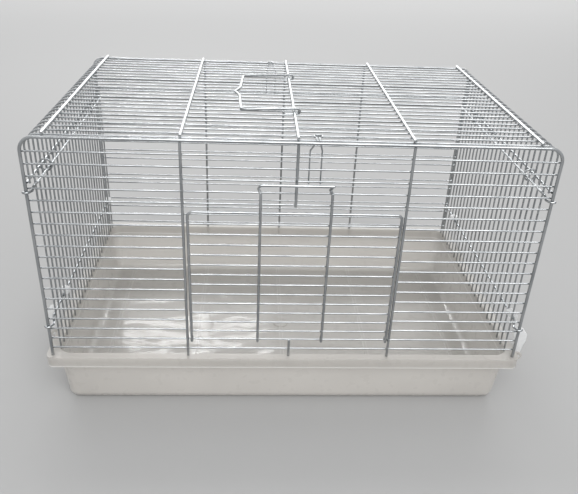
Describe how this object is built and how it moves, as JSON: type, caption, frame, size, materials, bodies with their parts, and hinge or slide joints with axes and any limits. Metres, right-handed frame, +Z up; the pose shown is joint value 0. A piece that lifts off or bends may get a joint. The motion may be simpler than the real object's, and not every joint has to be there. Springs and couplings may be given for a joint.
{
  "type": "wire small animal cage",
  "caption": "Wire cage on a frosted plastic tray, with a swinging front door, a folding carry handle and swing clips that hold the wire top to the tray.",
  "frame": {"origin": "on the ground under the middle of the tray", "axes": "+Z up, +X along the cage towards its right end as seen from the door, -Y out through the door"},
  "size_m": [0.5, 0.2971, 0.2992],
  "materials": {
    "zinc_wire": "bright zinc plated wire",
    "frosted_plastic": "frosted translucent moulding",
    "clip_plastic": "milky translucent moulding"
  },
  "bodies": {
    "cage": {"tray": "frosted_plastic", "front_frame": "zinc_wire", "front_rows_above_door": "zinc_wire", "front_rows_left_of_door": "zinc_wire", "front_rows_right_of_door": "zinc_wire", "door_hinge_wire": "zinc_wire", "front_bottom_wire": "zinc_wire", "front_uprights": "zinc_wire", "back_frame": "zinc_wire", "back_rows": "zinc_wire", "back_uprights": "zinc_wire", "roof_wires": "zinc_wire", "roof_runners": "zinc_wire", "roof_flange_rails": "zinc_wire", "roof_clip_front": "zinc_wire", "roof_clip_back": "zinc_wire", "left_side_wires": "zinc_wire", "left_top_rail": "zinc_wire", "left_lower_rail": "zinc_wire", "left_joining_rings": "zinc_wire", "right_side_wires": "zinc_wire", "right_top_rail": "zinc_wire", "right_lower_rail": "zinc_wire", "right_joining_rings": "zinc_wire"},
    "door": {"door_frame": "zinc_wire", "door_cross_wires": "zinc_wire", "door_pull_handle": "zinc_wire"},
    "carry_handle": {"carry_handle": "zinc_wire"},
    "tray_clip_front_left": {"tray_clip_front_left": "clip_plastic"},
    "tray_clip_front_right": {"tray_clip_front_right": "clip_plastic"},
    "tray_clip_back_left": {"tray_clip_back_left": "clip_plastic"},
    "tray_clip_back_right": {"tray_clip_back_right": "clip_plastic"}
  },
  "joints": [
    {"name": "door_swing", "type": "hinge", "parent": "cage", "child": "door", "pos_m": [0.0015, -0.1396, 0.083], "axis": [1, 0, 0], "range_deg": [0, 145]},
    {"name": "carry_handle_swing", "type": "hinge", "parent": "cage", "child": "carry_handle", "pos_m": [0.001, 0, 0.2952], "axis": [0, 1, 0], "range_deg": [0, 179]},
    {"name": "tray_clip_front_left_swing", "type": "hinge", "parent": "cage", "child": "tray_clip_front_left", "pos_m": [-0.2445, -0.092, 0.058], "axis": [0, -1, 0], "range_deg": [0, 100]},
    {"name": "tray_clip_front_right_swing", "type": "hinge", "parent": "cage", "child": "tray_clip_front_right", "pos_m": [0.2445, -0.1265, 0.058], "axis": [0, 1, 0], "range_deg": [0, 100]},
    {"name": "tray_clip_back_left_swing", "type": "hinge", "parent": "cage", "child": "tray_clip_back_left", "pos_m": [-0.2445, 0.1265, 0.058], "axis": [0, -1, 0], "range_deg": [0, 100]},
    {"name": "tray_clip_back_right_swing", "type": "hinge", "parent": "cage", "child": "tray_clip_back_right", "pos_m": [0.2445, 0.092, 0.058], "axis": [0, 1, 0], "range_deg": [0, 100]}
  ]
}
